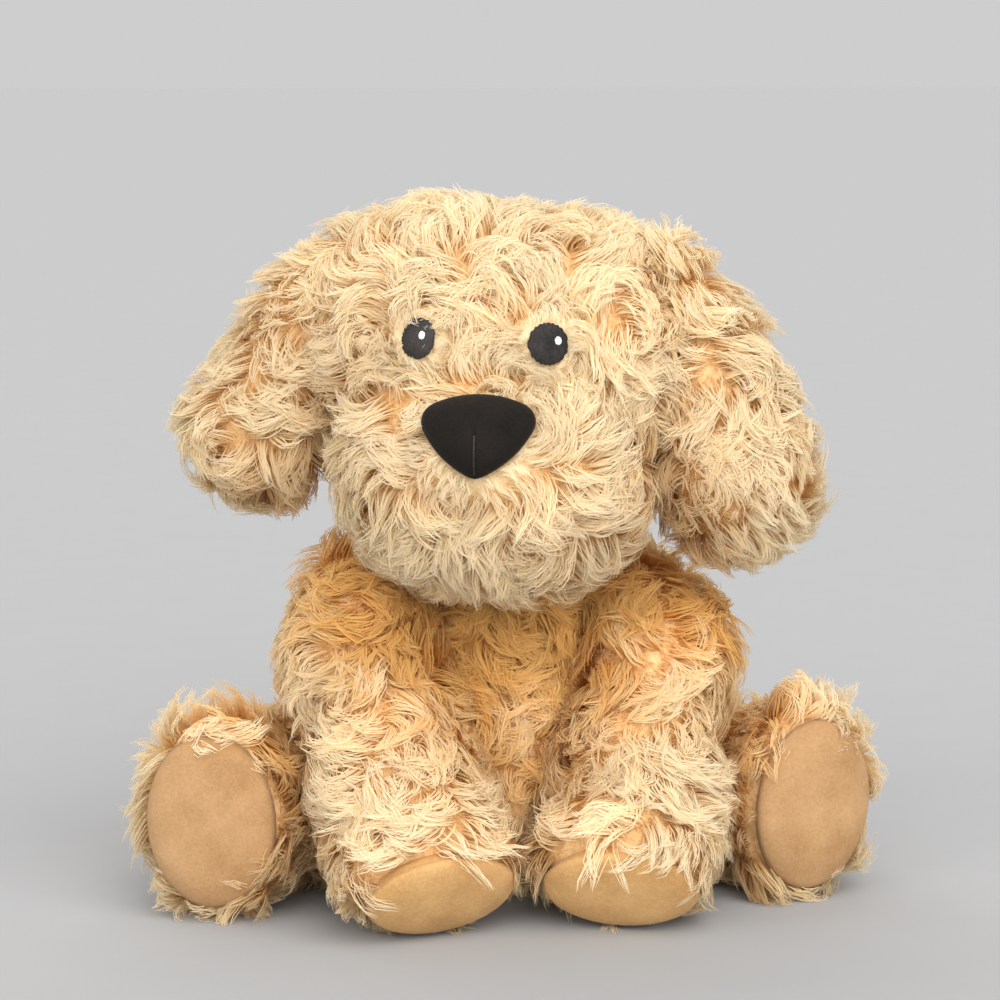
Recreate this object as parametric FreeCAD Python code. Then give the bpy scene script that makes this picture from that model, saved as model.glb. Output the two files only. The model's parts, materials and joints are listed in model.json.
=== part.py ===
import FreeCAD, Part
import math
import os

# A seated plush dog, in millimetres. +Z is up, the dog looks along -Y and its left side is +X.
# The origin is the middle of the flat underside that it sits on.
# Every stuffed shape is the smooth skin that wraps two balls, and one cut flat where it rests.

# Cloth and gaps
COVER = 5.0  # long-pile cloth as it lies: backing plus pressed pile
GAP = 0.3  # room between a cover and its stuffing
SLIDE = 0.6  # room round the neck ball, and between an ear and the head
SWING = 2.5  # room that the torso leaves round each leg and the tail, so that they can swing
FOOT = 4.0  # thickness of an underside panel
BAG = 1.0  # woven cloth of the bean pouch and the neck
BIG = 400.0  # longer than the whole toy

# Torso: wider at the bottom, flat where it sits
BELLY = FreeCAD.Vector(0, 0, 50)
BELLY_RADIUS = 62.0
CHEST = FreeCAD.Vector(0, -7, 88)
CHEST_RADIUS = 47.0
POUCH_TOP = 30.0

# Neck ball, and the head that turns on it
NECK = FreeCAD.Vector(0, -26, 112)
NECK_RADIUS = 28.0
HEAD_TURN = -17.0  # degrees about +Z at rest
HEAD_LEAN = 2.0  # degrees about the head's own forward axis at rest

# Head shapes, measured from the neck before the head is turned
CRANIUM = FreeCAD.Vector(0, -20, 87)
CRANIUM_RADIUS = 56.0
MUZZLE = FreeCAD.Vector(0, -52, 45)
MUZZLE_RADIUS = 39.0
MUZZLE_SPREAD = 11.0  # half the distance between the muzzle's two balls
SNOUT_SEAM = 38.0  # cranium centre to the seam that the muzzle is sewn along

# Face
NOSE_WIDTH = 38.0
NOSE_HEIGHT = 28.0
NOSE_DEPTH = 9.0  # how far the nose stands out of the muzzle
NOSE_CORNER = 6.0
NOSE_TOWARDS = FreeCAD.Vector(0, -47, 22)  # from the muzzle's centre
STITCH_WIDTH = 0.9
EYE_RADIUS = 6.4
EYE_THICK = 1.2
EYE_TOWARDS = FreeCAD.Vector(23, -52, 12)  # left eye, from the cranium's centre
GLINT_RADIUS = 1.5
GLINT_THICK = 0.6
GLINT_SHIFT = FreeCAD.Vector(2.2, 0, 2.4)

# Ears hang from the sides of the head: centre, half length, and degrees flared outwards
EARS = {
    "left": (1, FreeCAD.Vector(79, -22, 69), 23.0, 27.0),
    "right": (-1, FreeCAD.Vector(-80, -22, 75), 19.0, 34.0),
}
EAR_RADIUS = 30.0

# Legs: root ball, paw ball, and the way the suede pad faces, for the left side
LEGS = {
    "front": {
        "root": FreeCAD.Vector(52, -44, 89),
        "root_radius": 28.0,
        "paw": FreeCAD.Vector(38, -80, 30),
        "paw_radius": 32.0,
        "pad_towards": FreeCAD.Vector(0, -0.80, -0.60),
        "pad_radius": 22.0,
        "panels": ("outer_panel", "inner_panel"),
        "seam_along": FreeCAD.Vector(0, 1, 0),
    },
    "hind": {
        "root": FreeCAD.Vector(64, -2, 31.5),
        "root_radius": 31.0,
        "paw": FreeCAD.Vector(103, -32, 33.5),
        "paw_radius": 36.0,
        "pad_towards": FreeCAD.Vector(0.30, -0.95, 0.05),
        "pad_radius": 27.0,
        "panels": ("front_panel", "back_panel"),
        "seam_along": FreeCAD.Vector(0, 0, 1),
    },
}

# Tail
TAIL_ROOT = FreeCAD.Vector(0, 58, 28)
TAIL_ROOT_RADIUS = 13.0
TAIL_TIP = FreeCAD.Vector(0, 86, 37)
TAIL_TIP_RADIUS = 11.0

ORIGIN = FreeCAD.Vector(0, 0, 0)
X_AXIS = FreeCAD.Vector(1, 0, 0)
Y_AXIS = FreeCAD.Vector(0, 1, 0)
Z_AXIS = FreeCAD.Vector(0, 0, 1)


def mirrored(point, side):
    """The point on the dog's left (side 1) or right (side -1)."""
    return FreeCAD.Vector(point.x * side, point.y, point.z)


def half_space(point, normal):
    """A big block on the side of the plane that normal points to."""
    block = Part.makeBox(2 * BIG, 2 * BIG, BIG, FreeCAD.Vector(-BIG, -BIG, 0))
    block.Placement = FreeCAD.Placement(point, FreeCAD.Rotation(Z_AXIS, normal))
    return block


def above(height):
    """Everything above that height."""
    return half_space(FreeCAD.Vector(0, 0, height), Z_AXIS)


def two_ball_skin(start, start_radius, end, end_radius):
    """The smooth round body that just wraps two balls."""
    along = end - start
    length = along.Length
    slope = (start_radius - end_radius) / length
    across = math.sqrt(1 - slope * slope)
    low = FreeCAD.Vector(0, 0, -start_radius)
    low_side = FreeCAD.Vector(start_radius * math.sin(1), 0, -start_radius * math.cos(1))
    low_end = FreeCAD.Vector(start_radius * across, 0, start_radius * slope)
    high_end = FreeCAD.Vector(end_radius * across, 0, length + end_radius * slope)
    high_side = FreeCAD.Vector(end_radius * math.sin(1), 0, length + end_radius * math.cos(1))
    high = FreeCAD.Vector(0, 0, length + end_radius)
    edges = [
        Part.Arc(low, low_side, low_end).toShape(),
        Part.LineSegment(low_end, high_end).toShape(),
        Part.Arc(high_end, high_side, high).toShape(),
        Part.LineSegment(high, low).toShape(),
    ]
    body = Part.Face(Part.Wire(edges)).revolve(ORIGIN, Z_AXIS, 360)
    body = Part.Solid(body.Shells[0])
    body.Placement = FreeCAD.Placement(start, FreeCAD.Rotation(Z_AXIS, along))
    return body


def torso_skin(inset):
    """The outside of the torso, shrunk by inset, not yet cut flat."""
    return two_ball_skin(BELLY, BELLY_RADIUS - inset, CHEST, CHEST_RADIUS - inset)


def leg_skin(leg, inset):
    """The outside of a left leg, shrunk by inset; a negative inset grows it."""
    return two_ball_skin(leg["root"], leg["root_radius"] - inset, leg["paw"], leg["paw_radius"] - inset)


def tail_skin(inset):
    """The outside of the tail, shrunk by inset."""
    return two_ball_skin(TAIL_ROOT, TAIL_ROOT_RADIUS - inset, TAIL_TIP, TAIL_TIP_RADIUS - inset)


def room_for_limbs():
    """What the torso leaves free: the neck ball, and each limb with room to swing."""
    rooms = [Part.makeSphere(NECK_RADIUS + SLIDE, NECK), tail_skin(-SWING)]
    for leg in LEGS.values():
        left = leg_skin(leg, -SWING)
        rooms += [left, left.mirror(ORIGIN, X_AXIS)]
    return rooms


def torso_parts():
    """Front and back panels, seat panel, stuffing, bean pouch and beans."""
    rooms = room_for_limbs()
    back = half_space(BELLY, Y_AXIS)
    cover = torso_skin(0).cut(torso_skin(COVER)).common(above(FOOT)).cut(rooms)
    filling = torso_skin(COVER + GAP).common(above(FOOT + GAP)).cut(rooms)
    bag_inside = torso_skin(COVER + GAP + BAG).common(above(FOOT + GAP + BAG))
    bag_inside = bag_inside.cut([above(POUCH_TOP - BAG)] + rooms)
    beans = torso_skin(COVER + GAP + BAG + GAP).common(above(FOOT + GAP + BAG + GAP))
    return {
        "body_front_panel": cover.cut(back),
        "body_back_panel": cover.common(back),
        "seat_panel": torso_skin(0).common(above(0)).cut([above(FOOT)] + rooms),
        "body_stuffing": filling.common(above(POUCH_TOP + GAP)),
        "bean_pouch": filling.cut([above(POUCH_TOP), bag_inside]),
        "bean_fill": beans.cut([above(POUCH_TOP - BAG - GAP)] + rooms),
    }


def neck_parts():
    """The neck: a stuffed ball under a cloth skin, which the head turns and nods on."""
    return {
        "neck_cover": Part.makeSphere(NECK_RADIUS, NECK).cut(Part.makeSphere(NECK_RADIUS - BAG, NECK)),
        "neck_stuffing": Part.makeSphere(NECK_RADIUS - BAG - GAP, NECK),
    }


def head_placed(shape):
    """Moves a shape from the head's own frame to where the head sits at rest."""
    shape.rotate(ORIGIN, Y_AXIS, HEAD_LEAN)
    shape.rotate(ORIGIN, Z_AXIS, HEAD_TURN)
    shape.translate(NECK)
    return shape


def muzzle_skin(inset):
    """The whole muzzle, shrunk by inset. Head frame."""
    spread = X_AXIS * MUZZLE_SPREAD
    radius = MUZZLE_RADIUS - inset
    return two_ball_skin(MUZZLE - spread, radius, MUZZLE + spread, radius)


def head_halves(inset, seam_room):
    """The cranium and the muzzle, shrunk by inset, met along the snout seam. Head frame."""
    towards = (MUZZLE - CRANIUM).normalize()
    seam = CRANIUM + towards * SNOUT_SEAM
    cranium = Part.makeSphere(CRANIUM_RADIUS - inset, CRANIUM).cut(half_space(seam, towards))
    muzzle = muzzle_skin(inset).common(half_space(seam + towards * seam_room, towards))
    return cranium, muzzle


def nose_outline():
    """A wide triangle with round corners, point down, in its own XY plane."""
    across = NOSE_WIDTH / 2 - NOSE_CORNER
    top = NOSE_HEIGHT / 2 - NOSE_CORNER
    corners = [FreeCAD.Vector(0, -top, 0), FreeCAD.Vector(across, top, 0), FreeCAD.Vector(-across, top, 0)]
    edges = []
    for i in range(3):
        before, here, after = corners[i - 1], corners[i], corners[(i + 1) % 3]
        first = (here - before).cross(Z_AXIS).normalize() * NOSE_CORNER
        second = (after - here).cross(Z_AXIS).normalize() * NOSE_CORNER
        middle = (first + second).normalize() * NOSE_CORNER
        edges.append(Part.Arc(here + first, here + middle, here + second).toShape())
        edges.append(Part.LineSegment(here + second, after + second).toShape())
    return Part.Face(Part.Wire(edges))


def nose_parts():
    """The flocked nose, and the stitch line down its middle. Head frame."""
    normal = FreeCAD.Vector(NOSE_TOWARDS).normalize()
    front = 2 * NOSE_DEPTH
    nose = nose_outline().extrude(Z_AXIS * front)
    rim = [e for e in nose.Edges if e.CenterOfMass.z > front - GAP]
    nose = nose.makeFillet(NOSE_CORNER / 2, rim)
    corner = FreeCAD.Vector(-STITCH_WIDTH / 2, -NOSE_HEIGHT / 3, front - STITCH_WIDTH)
    stitch = Part.makeBox(STITCH_WIDTH, NOSE_HEIGHT / 2, STITCH_WIDTH, corner)
    up = normal.cross(X_AXIS) * -1
    if up.z < 0:
        up = up * -1
    turn = FreeCAD.Rotation(X_AXIS, up, normal, "ZXY")
    place = FreeCAD.Placement(MUZZLE + normal * (MUZZLE_RADIUS - NOSE_DEPTH), turn)
    parts = {"nose": nose.cut(stitch), "nose_stitch": stitch}
    for shape in parts.values():
        shape.Placement = place.multiply(shape.Placement)
    parts["nose"] = parts["nose"].cut(muzzle_skin(0))
    return parts


def patch_on_cranium(towards, radius, low, high):
    """A round patch that follows the cranium, from low to high above it. Head frame."""
    post = Part.makeCylinder(radius, CRANIUM_RADIUS + high + radius, CRANIUM, towards)
    shell = Part.makeSphere(CRANIUM_RADIUS + high, CRANIUM)
    return post.common(shell.cut(Part.makeSphere(CRANIUM_RADIUS + low, CRANIUM)))


def eye_parts():
    """Flat stitched eyes with a small light patch on each. Head frame."""
    parts = {}
    for name, side in (("left", 1), ("right", -1)):
        towards = mirrored(EYE_TOWARDS, side)
        parts[name + "_eye"] = patch_on_cranium(towards, EYE_RADIUS, 0, EYE_THICK)
        parts[name + "_eye_glint"] = patch_on_cranium(
            towards + GLINT_SHIFT, GLINT_RADIUS, EYE_THICK, EYE_THICK + GLINT_THICK
        )
    return parts


def head_parts():
    """Two side panels, muzzle and chin panels, both stuffings, nose and eyes."""
    outer_cranium, outer_muzzle = head_halves(0, 0)
    inner_cranium, inner_muzzle = head_halves(COVER, 0)
    cranium_fill, muzzle_fill = head_halves(COVER + GAP, GAP)
    left_side = half_space(ORIGIN, X_AXIS)
    chin_side = half_space(MUZZLE, Z_AXIS * -1)
    cranium_cover = outer_cranium.cut(inner_cranium)
    muzzle_cover = outer_muzzle.cut(inner_muzzle)
    parts = {
        "head_left_panel": cranium_cover.common(left_side),
        "head_right_panel": cranium_cover.cut(left_side),
        "muzzle_panel": muzzle_cover.cut(chin_side),
        "chin_panel": muzzle_cover.common(chin_side),
        "head_stuffing": cranium_fill,
        "muzzle_stuffing": muzzle_fill,
    }
    parts.update(nose_parts())
    parts.update(eye_parts())
    return {name: head_placed(shape) for name, shape in parts.items()}


def ear_parts():
    """Each ear's furry outer panel, its lining beside the cheek, and its wadding."""
    parts = {}
    head = Part.makeSphere(CRANIUM_RADIUS + SLIDE, CRANIUM)
    for name, (side, centre, half_length, flare) in EARS.items():
        lean = math.radians(flare)
        along = FreeCAD.Vector(-side * math.sin(lean), 0, math.cos(lean)) * half_length
        skin, inside, wadding = [
            two_ball_skin(centre + along, EAR_RADIUS - inset, centre - along, EAR_RADIUS - inset)
            for inset in (0, COVER, COVER + GAP)
        ]
        lining_room = Part.makeSphere(CRANIUM_RADIUS + SLIDE + COVER, CRANIUM)
        wadding_room = Part.makeSphere(CRANIUM_RADIUS + SLIDE + COVER + GAP, CRANIUM)
        parts[name + "_ear_lining"] = skin.cut(head).common(lining_room)
        parts[name + "_ear_fur_panel"] = skin.cut([lining_room, inside])
        parts[name + "_ear_wadding"] = wadding.cut(wadding_room)
    return {name: head_placed(shape) for name, shape in parts.items()}


def leg_parts(kind, leg):
    """A left leg: two cover panels, underside panel, stuffing and the suede paw pad."""
    skin = leg_skin(leg, 0).common(above(0))
    cover = skin.cut(leg_skin(leg, COVER)).common(above(FOOT))
    post = Part.makeCylinder(leg["pad_radius"], BIG, leg["paw"], leg["pad_towards"])
    rest = cover.cut(post)
    split = half_space(leg["root"], (leg["paw"] - leg["root"]).cross(leg["seam_along"]))
    first, second = leg["panels"]
    return {
        f"{kind}_leg_{first}": rest.common(split),
        f"{kind}_leg_{second}": rest.cut(split),
        f"{kind}_leg_stuffing": leg_skin(leg, COVER + GAP).common(above(FOOT + GAP)),
        f"{kind}_paw_underside": skin.cut(above(FOOT)),
        f"{kind}_paw_pad": cover.common(post),
    }


def tail_parts():
    """Tail cover and stuffing."""
    return {
        "tail_cover": tail_skin(0).cut(tail_skin(COVER)),
        "tail_stuffing": tail_skin(COVER + GAP),
    }


def build():
    """Every piece of the dog by name."""
    parts = {}
    parts.update(torso_parts())
    parts.update(neck_parts())
    parts.update(head_parts())
    parts.update(ear_parts())
    for kind, leg in LEGS.items():
        for name, shape in leg_parts(kind, leg).items():
            parts[f"left_{name}"] = shape
            parts[f"right_{name}"] = shape.mirror(ORIGIN, X_AXIS)
    parts.update(tail_parts())
    return parts


os.makedirs("parts", exist_ok=True)
for node, shape in build().items():
    print(f"{node}: {len(shape.Solids)} solid(s), {shape.Volume / 1000:.1f} cm3, valid {shape.isValid()}")
    shape.exportStep(f"parts/{node}.step")
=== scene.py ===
"""A seated plush dog: backing cloth, curly pile, pads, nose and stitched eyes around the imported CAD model.

Blender units are metres. The dog faces -Y and its own left is +X.
"""

import json
import math

import bpy
import numpy as np
from mathutils import Matrix, Vector


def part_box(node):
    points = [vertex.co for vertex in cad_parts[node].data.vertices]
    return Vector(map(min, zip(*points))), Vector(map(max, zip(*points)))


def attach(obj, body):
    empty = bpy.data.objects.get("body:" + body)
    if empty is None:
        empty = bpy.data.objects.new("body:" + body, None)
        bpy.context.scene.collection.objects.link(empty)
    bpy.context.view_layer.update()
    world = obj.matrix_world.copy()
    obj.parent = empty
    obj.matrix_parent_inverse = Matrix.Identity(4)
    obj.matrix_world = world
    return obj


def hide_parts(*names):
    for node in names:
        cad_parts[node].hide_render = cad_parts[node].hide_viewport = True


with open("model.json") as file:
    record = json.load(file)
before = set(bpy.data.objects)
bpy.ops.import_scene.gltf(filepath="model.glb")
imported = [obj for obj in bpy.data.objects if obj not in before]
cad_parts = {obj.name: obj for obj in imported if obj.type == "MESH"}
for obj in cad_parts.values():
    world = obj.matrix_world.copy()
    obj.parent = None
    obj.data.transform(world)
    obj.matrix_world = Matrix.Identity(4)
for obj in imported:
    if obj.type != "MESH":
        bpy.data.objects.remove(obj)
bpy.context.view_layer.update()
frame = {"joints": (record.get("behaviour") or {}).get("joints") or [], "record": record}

MM = 0.001
JOINTS = {j["name"]: np.array(j["pos_m"]) for j in frame["joints"]}

# ---------------------------------------------------------------- driving dimensions, in metres
SINK = 6.5 * MM  # how far the backing cloth lies inside the CAD cover
LOFT = 8.5 * MM  # how high the pile stands on the backing cloth
SHORT_LOFT = 3.2 * MM  # pile beside the eyes and nose
TUFT_STEP = 12.5 * MM  # between the middles of two curls
LOCK_AREA = 7.5 * MM * MM  # backing cloth per lock
LOCK_SPREAD = 1.5 * MM  # how far a lock's strands stand apart at the root
STRANDS_PER_LOCK = 9
STRAND_WIDTH = 0.48 * MM
STEPS = 5  # lengths that a strand is made of
STRANDS_PER_PIECE = 18000
SOFTNESS = 0.8  # how far a strand is shaded like the cloth under it and not like a flat ribbon
BURIED = 7 * MM  # cloth deeper than this inside another body grows no pile
FLOOR_GAP = 0.4 * MM  # the least height of a strand


# ---------------------------------------------------------------- places
def turn_about(axis, degrees):
    return np.array(Matrix.Rotation(math.radians(degrees), 3, axis))


def at(x, y, z):
    """A place in the CAD's frame, given in millimetres."""
    return np.array([x, y, z], dtype=float) * MM


NECK = JOINTS["neck_turn"]
HEAD = turn_about("Z", -17) @ turn_about("Y", 2)


def on_head(x, y, z):
    """A place given in the head's own frame, in millimetres from the neck."""
    return HEAD @ at(x, y, z) + NECK


def unit(v):
    v = np.asarray(v, dtype=float)
    return v / np.maximum(np.linalg.norm(v, axis=-1, keepdims=True), 1e-12)


def box_middle(node):
    low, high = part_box(node)
    return (np.array(low) + np.array(high)) / 2


def smooth(low, high, x):
    """0 below low, 1 above high, smooth between."""
    t = np.clip((x - low) / (high - low), 0, 1)
    return t * t * (3 - 2 * t)


def plane_axes(facing, tilt=0.0):
    """Across and up in the plane that faces this way, turned in it by tilt degrees."""
    across = unit(np.cross([0, 0, 1.0], facing))
    up = np.cross(facing, across)
    c, s = math.cos(math.radians(tilt)), math.sin(math.radians(tilt))
    return across * c - up * s, up * c + across * s


CRANIUM = on_head(0, -20, 87)
MUZZLE = on_head(0, -52, 45)
NOSE_FACING = unit(HEAD @ np.array([0, -47, 22.0]))
NOSE_ACROSS, NOSE_UP = plane_axes(NOSE_FACING)
NOSE = MUZZLE + NOSE_FACING * 40 * MM + NOSE_UP * 3.5 * MM
EYE_SHIFT = HEAD @ at(-2.6, 0, -2.6)  # from the CAD eyes, down and to the dog's right
EYES = {side: box_middle(side + "_eye") + EYE_SHIFT for side in ("left", "right")}
EYE_CLEAR = {"left": 6.0 * MM, "right": 5.0 * MM}  # pile nearer to an eye's middle is pushed aside
EYE_BARE = 5.7 * MM  # no lock has its root nearer to an eye's middle
EYE_OUT = 57 * MM  # how far the eyes stand from the middle of the cranium


# ---------------------------------------------------------------- distance to round shapes
def two_balls(p, start, start_radius, end, end_radius):
    """Signed distance to the skin that wraps two balls."""
    along = end - start
    square = along @ along
    drop = start_radius - end_radius
    slope = square - drop * drop
    off = p - start
    y = off @ along
    z = y - square
    x2 = ((off * square - np.outer(y, along)) ** 2).sum(1)
    y2 = y * y * square
    z2 = z * z * square
    k = np.sign(drop) * drop * drop * x2
    side = (np.sqrt(x2 * slope / square) + y * drop) / square - start_radius
    near = np.sqrt(x2 + y2) / square - start_radius
    far = np.sqrt(x2 + z2) / square - end_radius
    return np.where(np.sign(z) * slope * z2 > k, far, np.where(np.sign(y) * slope * y2 < k, near, side))


def rounded_oval(p, middle, facing, tilt, half_wide, half_high, rounding):
    """Signed distance to a flat oval with a thick round rim, never more than the true one."""
    across, up = plane_axes(facing, tilt)
    off = p - middle
    flat = np.hypot(off @ across / half_wide, off @ up / half_high)
    return np.hypot(np.maximum(flat - 1, 0) * min(half_wide, half_high), off @ facing) - rounding


def blend_least(a, b, reach):
    """The smaller of two distances, rounded over where they meet."""
    mix = np.clip(0.5 + 0.5 * (b - a) / reach, 0, 1)
    return b * (1 - mix) + a * mix - reach * mix * (1 - mix)


class Shape:
    """The outside of one body's cover: two-ball skins run together, cut by a floor and by a hollow."""

    def __init__(
        self, body, parts, reach=12 * MM, floor=None, hollow=None, middle=None, sole=None, fold=None
    ):
        self.body = body
        self.fold = fold
        self.sole = sole
        self.parts = parts
        self.reach = reach
        self.floor = floor
        self.hollow = hollow
        self.middle = np.mean([(a + b) / 2 for a, _, b, _ in parts], axis=0) if middle is None else middle

    def cover(self, p):
        """Distance to the cover's outside."""
        total = None
        for part in self.parts:
            d = two_balls(p, *part)
            total = d if total is None else blend_least(total, d, self.reach)
        if self.sole is not None:
            total = blend_least(total, rounded_oval(p, *self.sole), 8 * MM)
        if self.hollow is not None:
            ball, radius = self.hollow
            total = -blend_least(-total, np.linalg.norm(p - ball, axis=1) - radius, 4 * MM)
        if self.fold is not None:
            total = blend_least(total, two_balls(p, *self.fold), 8 * MM)
        return total

    def backing(self, p):
        """Distance to the backing cloth that the pile grows from."""
        total = self.cover(p) + SINK - (SINK - 1.5 * MM) * bare_face(p) * (self.body == "head")
        if self.floor is not None:
            total = -blend_least(-total, p[:, 2] - self.floor, 4 * MM)
        return total

    def normal(self, p):
        step = 0.2 * MM
        slopes = [self.backing(p + e * step) - self.backing(p - e * step) for e in np.eye(3)]
        return unit(np.stack(slopes, 1))

    def cast(self, directions):
        """Where rays from the middle leave the backing cloth, found from outside it."""
        t = np.full(len(directions), 200 * MM)
        for _ in range(60):
            t -= np.maximum(self.backing(self.middle + directions * t[:, None]), -2 * MM) * 0.9
        return self.middle + directions * t[:, None]


def bare_face(p):
    """1 at the eyes and the nose, where the pile is short, falling to 0 away from them."""
    near = np.zeros(len(p))
    for eye in EYES.values():
        near = np.maximum(near, 1 - smooth(7 * MM, 17 * MM, np.linalg.norm(p - eye, axis=1)))
    near = np.maximum(near, 0.8 * (1 - smooth(14 * MM, 26 * MM, np.linalg.norm(p - NOSE, axis=1))))
    return near


def mirrored(side, place):
    return place * np.array([side, 1, 1])


# side, lobe's middle, half length, flare in degrees, upper and lower radius
EARS = {
    "left": (1, on_head(72.8, -22, 69), 23 * MM, 24, 27 * MM, 30 * MM),
    "right": (-1, on_head(-79.2, -22, 74.5), 19 * MM, 29, 26 * MM, 29 * MM),
}
FRONT_ROOT, FRONT_PAW, FRONT_SHOULDER = at(52, -44, 89), at(38, -80, 30), at(46, -36, 104)
HIND_ROOT, HIND_PAW = at(64, -2, 31.5), at(103, -32, 33.5)
TAIL_ROOT, TAIL_TIP = at(0, 58, 28), at(0, 86, 37)
FRONT_FACING = np.array([-0.24, -0.80, -0.56])
HIND_FACING = np.array([0.30, -0.95, 0.05])


def ear_shape(name):
    side, centre, half, flare, upper, lower = EARS[name]
    lean = math.radians(flare)
    along = HEAD @ np.array([-side * math.sin(lean), 0, math.cos(lean)]) * half
    parts = [(centre + along, upper, centre - along, lower)]
    fold = (JOINTS[name + "_ear_lift"], 22 * MM, centre + along, 24.5 * MM)
    return Shape(name + "_ear", parts, hollow=(CRANIUM, 58 * MM), fold=fold, middle=centre + along * 0.4)


SHAPES = {
    "torso": Shape(
        "torso",
        [
            (at(0, 0, 50), 62 * MM, at(0, -7, 88), 47 * MM),
            (at(-34, -20, 98), 30 * MM, at(34, -20, 98), 30 * MM),
        ],
        floor=1.0 * MM,
        middle=at(0, -4, 62),
    ),
    "neck": Shape("neck", [(NECK + at(0, 4, -3), 33 * MM, NECK + at(0, 6, 12), 33 * MM)]),
    "head": Shape(
        "head",
        [
            (on_head(-23, -20, 90.5), 51 * MM, on_head(20, -20, 87.5), 51 * MM),
            (on_head(-11, -52, 45), 39 * MM, on_head(11, -52, 45), 39 * MM),
            (on_head(-20, -38, 50), 36 * MM, on_head(16, -38, 50), 36 * MM),
        ],
        reach=16 * MM,
        middle=on_head(0, -32, 72),
    ),
    "left_ear": ear_shape("left"),
    "right_ear": ear_shape("right"),
    "tail": Shape("tail", [(TAIL_ROOT, 13 * MM, TAIL_TIP, 11 * MM)]),
}
LEAN = at(-3, 0, 0)  # the dog sits a little to its right
HIND_TILT = {"left": 10, "right": -3}  # degrees that the soles lean in their own plane


def leg_shape(side, sign, kind):
    name = f"{side}_{kind}_leg"
    if kind == "hind":
        root, paw = mirrored(sign, HIND_ROOT), mirrored(sign, HIND_PAW) + at(0, 0, 1.5)
        if side == "left":
            paw = paw + at(-6, 0, -1)
        facing = unit(mirrored(sign, HIND_FACING))
        sole = (paw + facing * 16 * MM, facing, HIND_TILT[side], 15 * MM, 25 * MM, 13 * MM)
        parts = [(root, 31 * MM, paw, 33 * MM)]
    else:
        root, paw = mirrored(sign, FRONT_ROOT) + LEAN, mirrored(sign, FRONT_PAW) + LEAN
        paw = paw + at(0, 5, 2)
        shoulder = mirrored(sign, FRONT_SHOULDER) + LEAN
        if side == "right":
            shoulder = shoulder + at(-4, 0, 8)
        facing = unit(mirrored(sign, FRONT_FACING))
        sole = (paw + facing * 14 * MM, facing, 0, 18 * MM, 10 * MM, 12 * MM)
        parts = [(root, 28 * MM, paw, 32 * MM), (root, 28 * MM, shoulder, 25 * MM)]
    return Shape(name, parts, floor=1.0 * MM, sole=sole, middle=(root + paw) / 2)


for leg_side, leg_sign in (("left", 1), ("right", -1)):
    for leg_kind in ("front", "hind"):
        SHAPES[f"{leg_side}_{leg_kind}_leg"] = leg_shape(leg_side, leg_sign, leg_kind)


# ---------------------------------------------------------------- pads
class Pad:
    """Where a suede pad sits on a paw: its middle, the way it faces, and its half sizes."""

    def __init__(self, body, facing, tilt, out, half_wide, half_high, crown):
        self.body = body
        self.facing = unit(facing)
        self.across, self.up = plane_axes(self.facing, tilt)
        self.middle = SHAPES[body].parts[0][2] + self.facing * out
        self.half_wide, self.half_high = half_wide, half_high
        self.crown = crown

    def share(self, p):
        """How far out a place lies in the pad's oval: 1 at its rim, large behind the pad."""
        off = p - self.middle
        flat = np.sqrt((off @ self.across / self.half_wide) ** 2 + (off @ self.up / self.half_high) ** 2)
        return np.where(off @ self.facing > -16 * MM, flat, 9.0)


PADS = {}
for leg_side, leg_sign in (("left", 1), ("right", -1)):
    PADS[f"{leg_side}_front_paw_pad"] = Pad(
        f"{leg_side}_front_leg", mirrored(leg_sign, FRONT_FACING), 0,
        27 * MM, 27.5 * MM, 18.5 * MM, 5.5 * MM,
    )
    PADS[f"{leg_side}_hind_paw_pad"] = Pad(
        f"{leg_side}_hind_leg", mirrored(leg_sign, HIND_FACING), HIND_TILT[leg_side],
        28 * MM, 23.5 * MM, 31 * MM, 7.5 * MM,
    )


# ---------------------------------------------------------------- meshes
def new_object(name, mesh):
    piece = bpy.data.objects.new(name, mesh)
    bpy.context.scene.collection.objects.link(piece)
    return piece


def mesh_from(name, points, faces, shade_smooth=True):
    mesh = bpy.data.meshes.new(name)
    mesh.from_pydata(points.tolist(), [], faces.tolist() if hasattr(faces, "tolist") else faces)
    mesh.update()
    if shade_smooth:
        mesh.polygons.foreach_set("use_smooth", [True] * len(mesh.polygons))
    return new_object(name, mesh)


def ball_grid(levels):
    """An icosphere's unit directions and triangles."""
    import bmesh

    bm = bmesh.new()
    bmesh.ops.create_icosphere(bm, subdivisions=levels, radius=1)
    directions = np.array([v.co[:] for v in bm.verts])
    faces = np.array([[v.index for v in f.verts] for f in bm.faces])
    bm.free()
    return unit(directions), faces


DIRECTIONS, TRIANGLES = ball_grid(6)


# ---------------------------------------------------------------- materials
def material(name):
    mat = bpy.data.materials.new(name)
    mat.use_nodes = True
    nodes, links = mat.node_tree.nodes, mat.node_tree.links
    return mat, nodes, links, nodes["Principled BSDF"]


def ramp(nodes, stops):
    node = nodes.new("ShaderNodeValToRGB")
    while len(node.color_ramp.elements) < len(stops):
        node.color_ramp.elements.new(0.5)
    for element, (place, colour) in zip(node.color_ramp.elements, stops):
        element.position = place
        element.color = (*colour, 1)
    return node


def noise(nodes, links, scale, detail=4.0, rough=0.6):
    where = nodes.new("ShaderNodeTexCoord")
    node = nodes.new("ShaderNodeTexNoise")
    node.inputs["Scale"].default_value = scale
    node.inputs["Detail"].default_value = detail
    node.inputs["Roughness"].default_value = rough
    links.new(where.outputs["Object"], node.inputs["Vector"])
    return node


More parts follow.
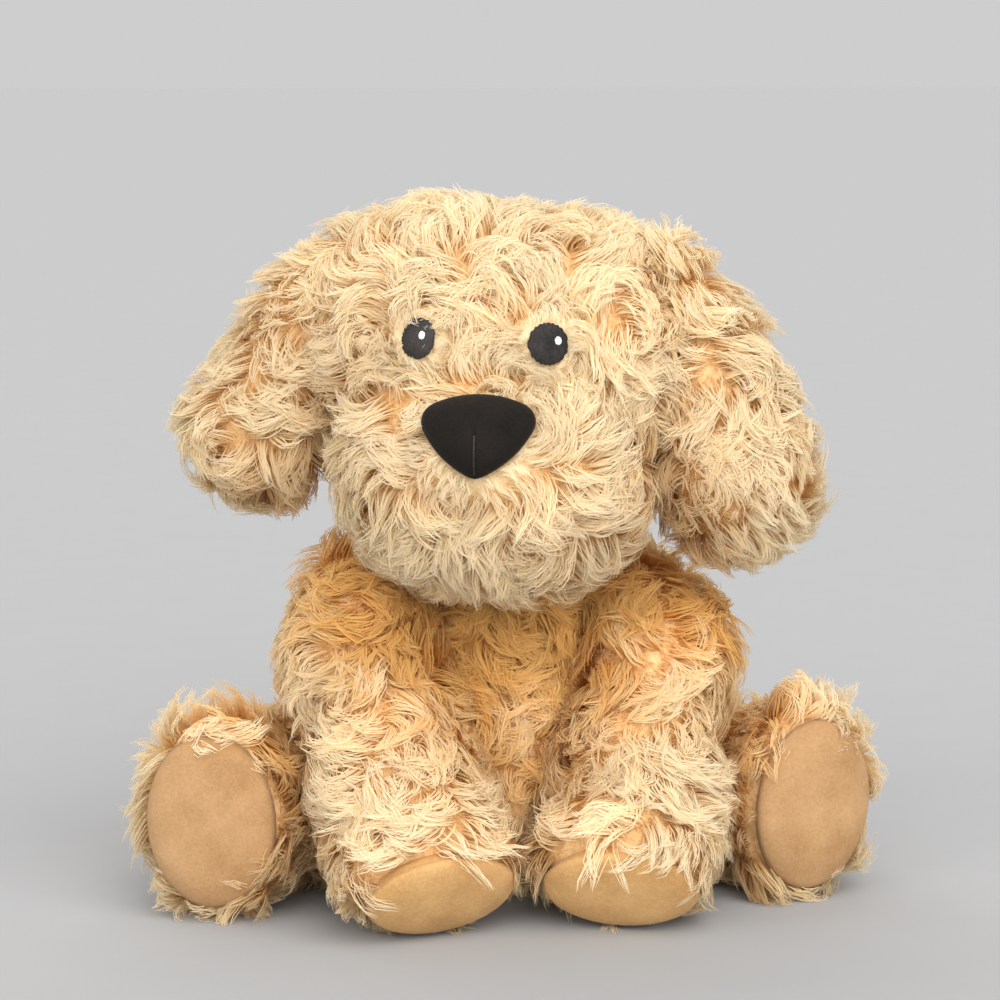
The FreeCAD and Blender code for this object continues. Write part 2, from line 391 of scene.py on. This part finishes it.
def pile_material():
    mat, nodes, links, shader = material("curly_pile")
    along = nodes.new("ShaderNodeAttribute")
    along.attribute_name = "along"
    tone = nodes.new("ShaderNodeAttribute")
    tone.attribute_name = "tone"
    shade = nodes.new("ShaderNodeAttribute")
    shade.attribute_name = "painted_shade"
    colour = ramp(
        nodes,
        [
            (0.0, (0.83, 0.52, 0.23)),
            (0.2, (0.92, 0.68, 0.37)),
            (0.45, (0.955, 0.805, 0.535)),
            (0.85, (0.975, 0.86, 0.635)),
        ],
    )
    links.new(along.outputs["Fac"], colour.inputs["Fac"])
    tint = nodes.new("ShaderNodeHueSaturation")
    links.new(colour.outputs["Color"], tint.inputs["Color"])
    links.new(tone.outputs["Fac"], tint.inputs["Value"])
    # Painted shade: the pile colour is multiplied towards a dark gold as far as the painted shade attribute
    # says.
    painted_shade_tint = nodes.new("ShaderNodeMixRGB")
    painted_shade_tint.blend_type = "MULTIPLY"
    painted_shade_tint.inputs["Color2"].default_value = (0.90, 0.68, 0.34, 1)
    links.new(shade.outputs["Fac"], painted_shade_tint.inputs["Fac"])
    links.new(tint.outputs["Color"], painted_shade_tint.inputs["Color1"])
    links.new(painted_shade_tint.outputs["Color"], shader.inputs["Base Color"])
    shader.inputs["Roughness"].default_value = 0.7
    shader.inputs["Specular IOR Level"].default_value = 0.15
    shader.inputs["Sheen Weight"].default_value = 0.15
    shader.inputs["Sheen Roughness"].default_value = 0.5
    shader.inputs["Sheen Tint"].default_value = (1.0, 0.9, 0.75, 1)
    through = nodes.new("ShaderNodeBsdfTranslucent")
    links.new(painted_shade_tint.outputs["Color"], through.inputs["Color"])
    mix = nodes.new("ShaderNodeMixShader")
    mix.inputs["Fac"].default_value = 0.5
    links.new(shader.outputs["BSDF"], mix.inputs[1])
    links.new(through.outputs["BSDF"], mix.inputs[2])
    links.new(mix.outputs["Shader"], nodes["Material Output"].inputs["Surface"])
    return mat


def backing_material():
    mat, nodes, links, shader = material("pile_backing")
    grain = noise(nodes, links, 420, 6)
    colour = ramp(nodes, [(0.3, (0.72, 0.42, 0.17)), (0.7, (0.88, 0.62, 0.32))])
    links.new(grain.outputs["Fac"], colour.inputs["Fac"])
    face = nodes.new("ShaderNodeAttribute")
    face.attribute_name = "face"
    paler = nodes.new("ShaderNodeMixRGB")
    paler.inputs["Color2"].default_value = (0.93, 0.74, 0.47, 1)
    links.new(face.outputs["Fac"], paler.inputs["Fac"])
    links.new(colour.outputs["Color"], paler.inputs["Color1"])
    links.new(paler.outputs["Color"], shader.inputs["Base Color"])
    shader.inputs["Roughness"].default_value = 0.9
    bump = nodes.new("ShaderNodeBump")
    bump.inputs["Distance"].default_value = 1.2 * MM
    links.new(grain.outputs["Fac"], bump.inputs["Height"])
    links.new(bump.outputs["Normal"], shader.inputs["Normal"])
    return mat


def napped_material(name, low, high, nap_scale, sheen, sheen_tint, rough=0.85, depth=0.35 * MM):
    """Suede or velour: a fine nap, broad brushed patches and a soft sheen."""
    mat, nodes, links, shader = material(name)
    nap = noise(nodes, links, nap_scale, 5, 0.7)
    brushed = noise(nodes, links, 55, 3, 0.55)
    both = nodes.new("ShaderNodeMath")
    both.operation = "MULTIPLY_ADD"
    both.inputs[1].default_value = 0.45
    links.new(nap.outputs["Fac"], both.inputs[0])
    half = nodes.new("ShaderNodeMath")
    half.operation = "MULTIPLY"
    half.inputs[1].default_value = 0.55
    links.new(brushed.outputs["Fac"], half.inputs[0])
    links.new(half.outputs["Value"], both.inputs[2])
    colour = ramp(nodes, [(0.36, low), (0.64, high)])
    links.new(both.outputs["Value"], colour.inputs["Fac"])
    links.new(colour.outputs["Color"], shader.inputs["Base Color"])
    shader.inputs["Roughness"].default_value = rough
    shader.inputs["Specular IOR Level"].default_value = 0.2
    shader.inputs["Sheen Weight"].default_value = sheen
    shader.inputs["Sheen Roughness"].default_value = 0.45
    shader.inputs["Sheen Tint"].default_value = (*sheen_tint, 1)
    bump = nodes.new("ShaderNodeBump")
    bump.inputs["Strength"].default_value = 0.6
    bump.inputs["Distance"].default_value = depth
    links.new(nap.outputs["Fac"], bump.inputs["Height"])
    links.new(bump.outputs["Normal"], shader.inputs["Normal"])
    return mat


PILE = pile_material()
BACKING = backing_material()
SUEDE = napped_material(
    "tan_suede", (0.34, 0.185, 0.077), (0.49, 0.295, 0.142), 900, 0.15, (1.0, 0.85, 0.65)
)
VELOUR = napped_material(
    "black_velour", (0.002, 0.0015, 0.001), (0.013, 0.009, 0.006), 900, 0.12, (0.5, 0.42, 0.35)
)
# The same tan suede as the hind pads, painted brighter and warmer: painted light on the front pads, which
# face down and get little light.
PAINTED_LIGHT_PAW_SUEDE = napped_material(
    "front_paw_suede", (0.44, 0.24, 0.085), (0.64, 0.385, 0.16), 900, 0.15, (1.0, 0.85, 0.65)
)
THREAD = napped_material(
    "black_thread", (0.010, 0.009, 0.009), (0.055, 0.048, 0.045), 1100, 0.05, (0.6, 0.55, 0.5), 0.6
)
WHITE_THREAD = napped_material(
    "white_thread", (0.80, 0.80, 0.78), (0.92, 0.92, 0.90), 2500, 0.1, (1, 1, 1), 0.5
)


# ---------------------------------------------------------------- pile
def comb(body, p, n):
    """The way the pile is brushed, along the cloth."""
    if body == "head":
        way = unit(p - NOSE) + np.array([0, 0, -0.25])
        for eye in EYES.values():
            near = 1 - smooth(7 * MM, 12 * MM, np.linalg.norm(p - eye, axis=1))
            way = way + unit(p - eye) * near[:, None] * 0.8
    elif body.endswith("_leg"):
        start, _, end, _ = SHAPES[body].parts[0]
        way = np.tile(unit(end - start), (len(p), 1)) + np.array([0, 0, -0.3])
    elif body == "tail":
        way = np.tile(unit(TAIL_TIP - TAIL_ROOT), (len(p), 1))
    else:
        way = np.tile([0, 0, -1.0], (len(p), 1))
    return unit(way - n * (way * n).sum(1, keepdims=True))


def spaced(points, step, rng):
    """Some of the points, no two nearer than step."""
    left = points[rng.permutation(len(points))]
    chosen = []
    while len(left):
        chosen.append(left[0])
        left = left[np.linalg.norm(left - left[0], axis=1) > step]
    return np.array(chosen)


def scatter(points, faces, area_each, rng):
    """Places spread evenly over a mesh."""
    a, b, c = (points[faces[:, i]] for i in range(3))
    areas = np.linalg.norm(np.cross(b - a, c - a), axis=1) / 2
    total = np.cumsum(areas)
    count = int(total[-1] / area_each)
    picks = np.searchsorted(total, (np.arange(count) + rng.random(count)) * total[-1] / count)
    picks = np.minimum(picks, len(faces) - 1)
    u, v = rng.random(count), rng.random(count)
    flip = u + v > 1
    u[flip], v[flip] = 1 - u[flip], 1 - v[flip]
    return a[picks] + (b - a)[picks] * u[:, None] + (c - a)[picks] * v[:, None]


def turned(v, axis, angle):
    """Vectors turned about axes at right angles to them."""
    return v * np.cos(angle)[:, None] + np.cross(axis, v) * np.sin(angle)[:, None]


def lock_paths(body, root, n, loft, rng):
    """The curl that each lock follows, as places after each step, and the tuft that it belongs to."""
    tufts = spaced(root, TUFT_STEP, rng)
    mine = np.concatenate(
        [
            np.argmin(((part[:, None] - tufts[None]) ** 2).sum(2), axis=1)
            for part in np.array_split(root, 20)
        ]
    )
    count = len(tufts)
    off = root - tufts[mine]
    off -= n * (off * n).sum(1, keepdims=True)
    out = np.linalg.norm(off, axis=1, keepdims=True)
    hand = np.where(rng.random(count) < 0.5, -1.0, 1.0)[mine]
    swirl = np.cross(n, off) / np.maximum(out, 1 * MM) * hand[:, None]
    spin = rng.normal(0, 1.0, count)[mine]
    lean = turned(comb(body, root, n), n, spin)
    way = unit(lean + 0.75 * swirl * np.clip(out / (4 * MM), 0, 1) - 0.25 * off / TUFT_STEP)
    way = unit(way + 0.22 * rng.normal(size=way.shape))
    way = unit(way - n * (way * n).sum(1, keepdims=True))
    first = np.radians(rng.uniform(8, 34, count))[mine] + np.radians(rng.normal(0, 8, len(root)))
    last = np.radians(rng.uniform(78, 122, count))[mine] + np.radians(rng.normal(0, 10, len(root)))
    curl = hand * np.radians(rng.uniform(30, 130, count))[mine] + np.radians(rng.normal(0, 18, len(root)))
    rise = (np.sin(last) - np.sin(first)) / (last - first)
    length = loft / np.clip(rise, 0.42, 1) * rng.uniform(0.8, 1.1, len(root))
    paths = [root]
    for i in range(STEPS):
        s = (i + 0.5) / STEPS
        tilt = first + (last - first) * s
        level = turned(way, n, curl * s)
        heading = n * np.cos(tilt)[:, None] + level * np.sin(tilt)[:, None]
        paths.append(paths[-1] + heading * (length / STEPS)[:, None])
    return np.stack(paths, 1), mine, count


def strand_mesh(name, centre, sideways, width, normal, tone, painted_shade, start):
    """Many flat strands as one mesh, with how far along each point is, a tone, and a bake layout."""
    count, points = centre.shape[:2]
    taper = np.array([0.75, 1.0, 1.0, 0.85, 0.6, 0.12])
    half = sideways * (width[:, None] * taper / 2)[..., None]
    verts = np.stack([centre - half, centre + half], 2).reshape(-1, 3)
    first = (np.arange(count) * points * 2)[:, None] + (np.arange(points - 1) * 2)[None]
    quads = np.stack([first, first + 1, first + 3, first + 2], 2).reshape(-1, 4)
    mesh = bpy.data.meshes.new(name)
    mesh.vertices.add(len(verts))
    mesh.vertices.foreach_set("co", verts.ravel())
    mesh.loops.add(quads.size)
    mesh.loops.foreach_set("vertex_index", quads.ravel())
    mesh.polygons.add(len(quads))
    mesh.polygons.foreach_set("loop_start", np.arange(0, quads.size, 4))
    mesh.polygons.foreach_set("use_smooth", np.ones(len(quads), dtype=bool))
    cells = int(math.ceil(math.sqrt(count)))
    column, row = np.arange(count) % cells, np.arange(count) // cells
    across = np.tile([0.2, 0.8], points)
    up = np.repeat(0.1 + 0.8 * np.arange(points) / (points - 1), 2)
    layout = np.stack([(column[:, None] + across) / cells, (row[:, None] + up) / cells], 2)
    layout = layout.reshape(-1, 2)
    mesh.uv_layers.new(name="OFBake").data.foreach_set("uv", layout[quads.ravel()].ravel())
    along = mesh.attributes.new("along", "FLOAT", "POINT")
    share = start[:, None] + (1 - start[:, None]) * np.arange(points) / (points - 1)
    along.data.foreach_set("value", np.repeat(share, 2, axis=1).ravel())
    for title, value in (("tone", tone), ("painted_shade", painted_shade)):
        layer = mesh.attributes.new(title, "FLOAT", "POINT")
        layer.data.foreach_set("value", np.repeat(value, points * 2))
    mesh.update(calc_edges=True)
    mesh.validate()
    heading = unit(np.gradient(centre, axis=1))
    flat = unit(np.cross(sideways, heading))
    soft = unit(flat * (1 - SOFTNESS) + normal[:, None] * SOFTNESS)
    mesh.normals_split_custom_set_from_vertices(np.repeat(soft, 2, axis=1).reshape(-1, 3).tolist())
    mesh.materials.append(PILE)
    return new_object(name, mesh)


def pile_loft(shape, root):
    loft = np.full(len(root), LOFT)
    if shape.body == "head":
        loft = LOFT + (SHORT_LOFT - LOFT) * bare_face(root)
    if shape.body.endswith("_ear"):
        ball, radius = shape.hollow
        inner = 1 - smooth(2 * MM, 9 * MM, np.linalg.norm(root - ball, axis=1) - radius)
        loft = loft * (1 - 0.6 * inner)
    if shape.floor is not None:
        loft = np.minimum(loft, np.maximum(root[:, 2] - 1 * MM, 1.5 * MM) + 2.5 * MM)
    return loft


def grows(shape, root):
    """Which roots keep their pile: not under a pad, nose, eye or seat, nor deep inside another body."""
    keep = np.ones(len(root), dtype=bool) if shape.floor is None else root[:, 2] > 2.5 * MM
    for pad in PADS.values():
        if pad.body == shape.body:
            keep &= pad.share(root) > 0.93
    if shape.body == "head":
        for eye in EYES.values():
            keep &= np.linalg.norm(root - eye, axis=1) > EYE_BARE
        off = root - NOSE
        flat = np.stack([off @ NOSE_ACROSS, off @ NOSE_UP], 1)
        keep &= (nose_distance(flat) > -3 * MM) | (off @ NOSE_FACING < -25 * MM)
    for other in SHAPES.values():
        if other is not shape:
            keep &= other.backing(root) > -BURIED
    return keep


def painted_shade(shape, root, n):
    """Painted shade: how much the pile is darkened and warmed, a fake occlusion that is strong where other
    bodies lie close towards the light above and in front, and weak in the open.
    """
    closed = np.zeros(len(root))
    strength = 0.28 if shape.body in ("head", "left_ear", "right_ear") else 1.0
    others = [other for other in SHAPES.values() if other is not shape]
    # The probes point up and forward, towards the lights, so the pile gets painted shadow where other bodies
    # are near along them.
    way = unit(n + np.array([0.2, -0.45, 0.9]))
    for reach, weight in ((12 * MM, 0.5), (28 * MM, 0.7), (50 * MM, 0.8)):
        probe = root + way * reach
        clear = np.min([other.cover(probe) for other in others], axis=0)
        closed += weight * np.clip(1 - clear / reach, 0, 1.2)
    low_paw = 1 - smooth(20 * MM, 70 * MM, root[:, 2])
    front = 0.35 + 0.65 * smooth(-0.5, 0.5, -n[:, 1])
    return np.clip(closed * 0.8, 0, 1) * strength * (1 - 0.6 * low_paw) * front


def parted_at_eyes(strands):
    """The strands pushed aside where they would lie over an eye."""
    for side, eye in EYES.items():
        facing = unit(eye - CRANIUM)
        off = strands - eye
        ahead = off @ facing
        flat = off - facing * ahead[..., None]
        out = np.linalg.norm(flat, axis=2)
        push = np.where(np.abs(ahead) < 15 * MM, np.maximum(EYE_CLEAR[side] - out, 0), 0)
        strands = strands + flat / np.maximum(out, 0.5 * MM)[..., None] * push[..., None]
    return strands


def grow_pile(shape, points, faces, rng):
    """The long curly pile of one body, as pieces named after it."""
    root = scatter(points, faces, LOCK_AREA * 0.5, rng)
    loft = pile_loft(shape, root)
    crowd = 0.5 + 0.5 * (1 - np.clip(loft / LOFT, 0, 1))
    root = root[grows(shape, root) & (rng.random(len(root)) < crowd)]
    n = shape.normal(root)
    loft = pile_loft(shape, root)
    paths, mine, tufts = lock_paths(shape.body, root, n, loft, rng)
    scale = np.clip(loft / LOFT, 0.45, 1)
    for pad in PADS.values():
        if pad.body == shape.body:
            rim = 1 - smooth(1.0, 1.55, pad.share(root))
            lift = np.linspace(0, 1, STEPS + 1)[None, :, None] * rim[:, None, None]
            paths = paths + pad.facing * lift * 2.2 * MM
    reps = STRANDS_PER_LOCK
    lock = np.repeat(np.arange(len(root)), reps)
    count = len(lock)
    normal = n[lock]
    spread = rng.normal(size=(count, 3)) * LOCK_SPREAD * scale[lock][:, None]
    spread -= normal * (spread * normal).sum(1, keepdims=True)
    s = np.linspace(0, 1, STEPS + 1)
    gather = 1 - 0.72 * s**1.3
    strands = paths[lock] + spread[:, None, :] * gather[None, :, None]
    heading = unit(np.gradient(strands, axis=1))
    level = unit(np.cross(heading, normal[:, None, :]))
    phase = rng.uniform(0, 2 * math.pi, len(root))[lock] + rng.normal(0, 0.7, count)
    sway = np.sin(phase[:, None] + s[None] * 2 * math.pi * 1.3) * s[None] * 0.8 * MM * scale[lock][:, None]
    strands = strands + level * sway[..., None]
    strands += rng.normal(size=strands.shape) * s[None, :, None] * 0.22 * MM
    length = rng.uniform(0.86, 1.06, count)
    strands = strands[:, :1] + (strands - strands[:, :1]) * length[:, None, None]
    if shape.body == "head":
        strands = parted_at_eyes(strands)
    strands[..., 2] = np.maximum(strands[..., 2], FLOOR_GAP)
    heading = unit(np.gradient(strands, axis=1))
    level = unit(np.cross(heading, normal[:, None, :]))
    outward = np.cross(level, heading)
    twist = rng.normal(0, 0.6, count)[:, None, None]
    sideways = level * np.cos(twist) + outward * np.sin(twist)
    width = STRAND_WIDTH * rng.uniform(0.6, 1.2, count) * np.clip(scale[lock], 0.6, 1)
    tone = (1 + rng.normal(0, 0.025, tufts)[mine][lock]) * (1 + rng.normal(0, 0.03, count))
    # painted shade for each strand, taken from its lock's root
    under = painted_shade(shape, root, n)[lock]
    start = 0.9 * (1 - scale[lock])
    parts = int(math.ceil(count / STRANDS_PER_PIECE))
    for i, chosen in enumerate(np.array_split(np.arange(count), parts)):
        name = f"{shape.body}_pile" + (f"_{i + 1}" if parts > 1 else "")
        piece = strand_mesh(
            name, *(part[chosen] for part in (strands, sideways, width, normal, tone, under, start)),
        )
        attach(piece, shape.body)


# ---------------------------------------------------------------- the covers
COVERED = frame["record"]["behaviour"]["bodies"]
EYE_NODES = {f"{side}_eye{part}" for side in ("left", "right") for part in ("", "_glint")}
OWN_PIECE = {"nose", "nose_stitch", *PADS} | EYE_NODES


def make_backing(shape):
    """The backing cloth of one body, which stands for its panels and what is sewn up inside them."""
    points = shape.cast(DIRECTIONS)
    piece = mesh_from(f"{shape.body}_backing", points, TRIANGLES)
    piece.data.materials.append(BACKING)
    face = piece.data.attributes.new("face", "FLOAT", "POINT")
    face.data.foreach_set("value", bare_face(points) * (shape.body == "head"))
    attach(piece, shape.body)
    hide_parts(*[node for node in COVERED[shape.body] if node not in OWN_PIECE])
    return points


# ---------------------------------------------------------------- pads, nose and eyes
def disc_grid(rings, spokes):
    """Rings of points round a middle: share of the radius, angle, and the faces between them."""
    share = np.concatenate([[0.0], np.repeat(np.arange(1, rings + 1) / rings, spokes)])
    angle = np.concatenate([[0.0], np.tile(np.arange(spokes) * 2 * math.pi / spokes, rings)])
    faces = [[0, 1 + i, 1 + (i + 1) % spokes] for i in range(spokes)]
    for ring in range(rings - 1):
        a, b = 1 + ring * spokes, 1 + (ring + 1) * spokes
        for i in range(spokes):
            j = (i + 1) % spokes
            faces.append([a + i, b + i, b + j, a + j])
    return share, angle, faces


def rim_wall(count, spokes):
    """The faces that join the outer rings of a top and an underside of count points each."""
    rim = count - spokes
    nexts = [(i + 1) % spokes for i in range(spokes)]
    return [[rim + i, count + rim + i, count + rim + j, rim + j] for i, j in enumerate(nexts)]


def closed_cushion(
    name, frame_axes, outline, crown, depth, rings=26, spokes=96, ripple=0.0, round_top=0.0
):
    """A crowned form with a rolled rim. outline gives its half size at an angle, in the axes' plane."""
    middle, across, up, facing = frame_axes
    share, angle, faces = disc_grid(rings, spokes)
    size = outline(angle)
    body = (1 - share**2.6) ** 0.55 * (1 - round_top) + (1 - share**2) ** 0.62 * round_top
    height = crown * body
    if ripple:
        height = height + ripple * np.sin(angle * 31) * smooth(0.72, 0.95, share) * (1 - share) * 4
    top = np.stack([np.cos(angle) * size * share, np.sin(angle) * size * share, height], 1)
    under = top.copy()
    under[:, :2] *= 1 - 0.10 * share[:, None] ** 8
    under[:, 2] = -depth * (1 - share**10) - 0.0002
    count = len(top)
    local = np.concatenate([top, under])
    faces = faces + [[i + count for i in reversed(f)] for f in faces]
    faces += rim_wall(count, spokes)
    world = middle + local[:, :1] * across + local[:, 1:2] * up + local[:, 2:] * facing
    world[:, 2] = np.maximum(world[:, 2], 0.3 * MM)
    return mesh_from(name, world, faces), local


def make_pad(name, pad):
    def oval(angle):
        return 1 / np.sqrt((np.cos(angle) / pad.half_wide) ** 2 + (np.sin(angle) / pad.half_high) ** 2)

    axes = (pad.middle, pad.across, pad.up, pad.facing)
    piece = closed_cushion(name, axes, oval, pad.crown, 7 * MM, ripple=0.25 * MM)[0]
    # The front pads take the brighter copy of the suede, which is painted light.
    piece.data.materials.append(PAINTED_LIGHT_PAW_SUEDE if "front" in name else SUEDE)
    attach(piece, pad.body)
    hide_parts(name.replace("_suede", ""))


NOSE_TOP = (at(0, -21, 0)[:2], 36 * MM)  # middle and radius of the arc over the nose
NOSE_SIDE = (at(14, 18.4, 0)[:2], 36.6 * MM)  # and of the arc down the side across from it


def nose_distance(p):
    """How far outside the nose's outline a place in its plane lies: a shield of three arcs."""
    top = np.linalg.norm(p - NOSE_TOP[0], axis=1) - NOSE_TOP[1]
    sides = [
        np.linalg.norm(p * np.array([flip, 1]) - NOSE_SIDE[0], axis=1) - NOSE_SIDE[1] for flip in (1, -1)
    ]
    lower = -blend_least(-sides[0], -sides[1], 2 * MM)
    return -blend_least(-top, -lower, 7 * MM)


def nose_outline(angle):
    """How far out the nose reaches at each angle."""
    ways = np.stack([np.cos(angle), np.sin(angle)], 1)
    reach = np.full(len(angle), 30 * MM)
    for _ in range(80):
        reach -= nose_distance(ways * reach[:, None]) * 0.7
    return reach


NOSE_CROWN = 7.5 * MM


def make_nose():
    across, up = NOSE_ACROSS, NOSE_UP
    middle = NOSE + NOSE_FACING * 1.5 * MM
    axes = (middle, across, up, NOSE_FACING)
    piece, local = closed_cushion(
        "velour_nose", axes, nose_outline, NOSE_CROWN, 6 * MM, rings=40, spokes=160, round_top=1.0
    )
    seam = np.exp(-((local[:, 0] / (0.7 * MM)) ** 2)) * (local[:, 2] > 0)
    seam = seam * (1 - smooth(-3 * MM, 1 * MM, local[:, 1]))
    points = np.array([v.co[:] for v in piece.data.vertices]) - NOSE_FACING * (seam * 0.9 * MM)[:, None]
    piece.data.vertices.foreach_set("co", points.ravel())
    piece.data.update()
    piece.data.materials.append(VELOUR)
    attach(piece, "head")
    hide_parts("nose")
    stations, sides = 40, 8
    flat = np.stack([np.zeros(stations), np.linspace(-14.0, -2.0, stations) * MM], 1)
    size = nose_outline(np.arctan2(flat[:, 1], flat[:, 0] + 1e-9))
    share = np.clip(np.abs(flat[:, 1]) / size, 0, 0.97)
    lift = NOSE_CROWN * (1 - share**2) ** 0.62 - 0.6 * MM
    spine = middle + up * flat[:, 1:2] + NOSE_FACING * lift[:, None]
    ring = np.arange(sides) * 2 * math.pi / sides
    thick = 0.35 * MM * (1 + 0.25 * np.sin(np.arange(stations) * 1.9))
    tube = (
        spine[:, None]
        + across * (np.cos(ring)[None, :, None] * thick[:, None, None])
        + NOSE_FACING * (np.sin(ring)[None, :, None] * thick[:, None, None])
    ).reshape(-1, 3)
    faces = [
        [r * sides + i, r * sides + j, (r + 1) * sides + j, (r + 1) * sides + i]
        for r in range(stations - 1)
        for i, j in zip(range(sides), [*range(1, sides), 0])
    ]
    faces += [list(range(sides))[::-1], [(stations - 1) * sides + i for i in range(sides)]]
    stitch = mesh_from("nose_stitching", tube, faces)
    stitch.data.materials.append(THREAD)
    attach(stitch, "head")
    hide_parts("nose_stitch")


def make_patch(name, node, middle, facing, half_wide, half_high, crown, pitch, finish, lean=0.0):
    """A satin-stitched patch: close threads laid side by side over a low dome."""
    across, up = plane_axes(facing)
    rings, spokes = 44, 132
    share, angle, faces = disc_grid(rings, spokes)
    x = np.cos(angle) * half_wide * share
    y = np.sin(angle) * half_high * share
    threads = np.abs(np.sin(math.pi * (x * math.cos(lean) + y * math.sin(lean)) / pitch))
    height = crown * (1 - share**3.0) + min(0.2 * MM, 0.3 * pitch) * threads * (1 - share**12)
    edge = 1 + 0.02 * np.sign(np.sin(math.pi * x / pitch)) * share**20
    points = middle + np.outer(x * edge, across) + np.outer(y * edge, up) + np.outer(height, facing)
    count = len(points)
    under = points - facing * (height[:, None] + 1.0 * MM)
    both = faces + [[i + count for i in reversed(f)] for f in faces]
    both += rim_wall(count, spokes)
    piece = mesh_from(name, np.concatenate([points, under]), both)
    piece.data.materials.append(finish)
    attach(piece, "head")
    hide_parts(node)
    return across, up


def make_eyes():
    for side, eye in EYES.items():
        facing = unit(eye - CRANIUM)
        base = CRANIUM + facing * EYE_OUT
        across, up = make_patch(
            f"{side}_stitched_eye", f"{side}_eye", base, facing, 6.9 * MM, 7.1 * MM, 1.6 * MM, 0.75 * MM,
            THREAD, 0.25,
        )
        glint = base + across * 3.0 * MM + up * 0.9 * MM + facing * 1.5 * MM
        make_patch(
            f"{side}_stitched_glint", f"{side}_eye_glint", glint, facing,
            1.25 * MM, 1.45 * MM, 0.3 * MM, 0.4 * MM, WHITE_THREAD, 0.25,
        )


# ---------------------------------------------------------------- camera, floor and light
def look(obj, place, target):
    obj.location = Vector(place)
    obj.rotation_euler = (Vector(target) - Vector(place)).to_track_quat("-Z", "Y").to_euler()


def make_camera():
    """The photo's viewing angle, from a little to the dog's right and above."""
    azimuth, elevation = math.radians(-8), math.radians(8)
    target, distance = at(-3, -18, 143), 1.15
    level = math.cos(elevation)
    back = np.array([math.sin(azimuth) * level, -math.cos(azimuth) * level, math.sin(elevation)])
    camera = bpy.data.objects.new("camera", bpy.data.cameras.new("camera"))
    bpy.context.scene.collection.objects.link(camera)
    camera.data.sensor_width = 36
    camera.data.lens = 113.4
    camera.data.clip_start = 0.01
    look(camera, target + back * distance, target)
    bpy.context.scene.camera = camera


def make_sun(name, towards, strength, spread):
    """A soft far light: towards points from the dog to it, spread is its width in degrees."""
    light = bpy.data.lights.new(name, "SUN")
    light.energy = strength
    light.angle = math.radians(spread)
    holder = bpy.data.objects.new(name, light)
    bpy.context.scene.collection.objects.link(holder)
    look(holder, towards, (0, 0, 0))


def make_stage():
    half, cells = 30.0, 12
    side = np.linspace(-half, half, cells + 1)
    points = np.array([(x, y, 0.0) for y in side for x in side])
    row = cells + 1
    faces = [
        [r * row + c, r * row + c + 1, (r + 1) * row + c + 1, (r + 1) * row + c]
        for r in range(cells)
        for c in range(cells)
    ]
    floor = mesh_from("studio_floor", points, faces)
    mat, nodes, links, shader = material("pale_floor")
    grain = noise(nodes, links, 30, 3)
    tone = ramp(nodes, [(0.0, (0.371, 0.371, 0.373)), (1.0, (0.387, 0.387, 0.389))])
    links.new(grain.outputs["Fac"], tone.inputs["Fac"])
    links.new(tone.outputs["Color"], shader.inputs["Base Color"])
    shader.inputs["Roughness"].default_value = 1.0
    shader.inputs["Specular IOR Level"].default_value = 0.0
    floor.data.materials.append(mat)
    world = bpy.data.worlds.new("studio")
    bpy.context.scene.world = world
    world.use_nodes = True
    world.node_tree.nodes["Background"].inputs["Color"].default_value = (1, 1, 1, 1)
    world.node_tree.nodes["Background"].inputs["Strength"].default_value = 0.615
    make_sun("key", (0.40, -1.0, 0.85), 2.45, 60)
    make_sun("fill", (-0.50, -1.0, 0.2), 2.9, 90)
    make_sun("back", (-0.2, 1.0, 0.8), 1.2, 80)
    bpy.context.scene.view_settings.view_transform = "Standard"


# ---------------------------------------------------------------- the dog
make_camera()
make_stage()
for number, shape in enumerate(SHAPES.values()):
    skin = make_backing(shape)
    grow_pile(shape, skin, TRIANGLES, np.random.default_rng(100 + number))
for pad_name, pad in PADS.items():
    make_pad(pad_name + "_suede", pad)
make_nose()
make_eyes()
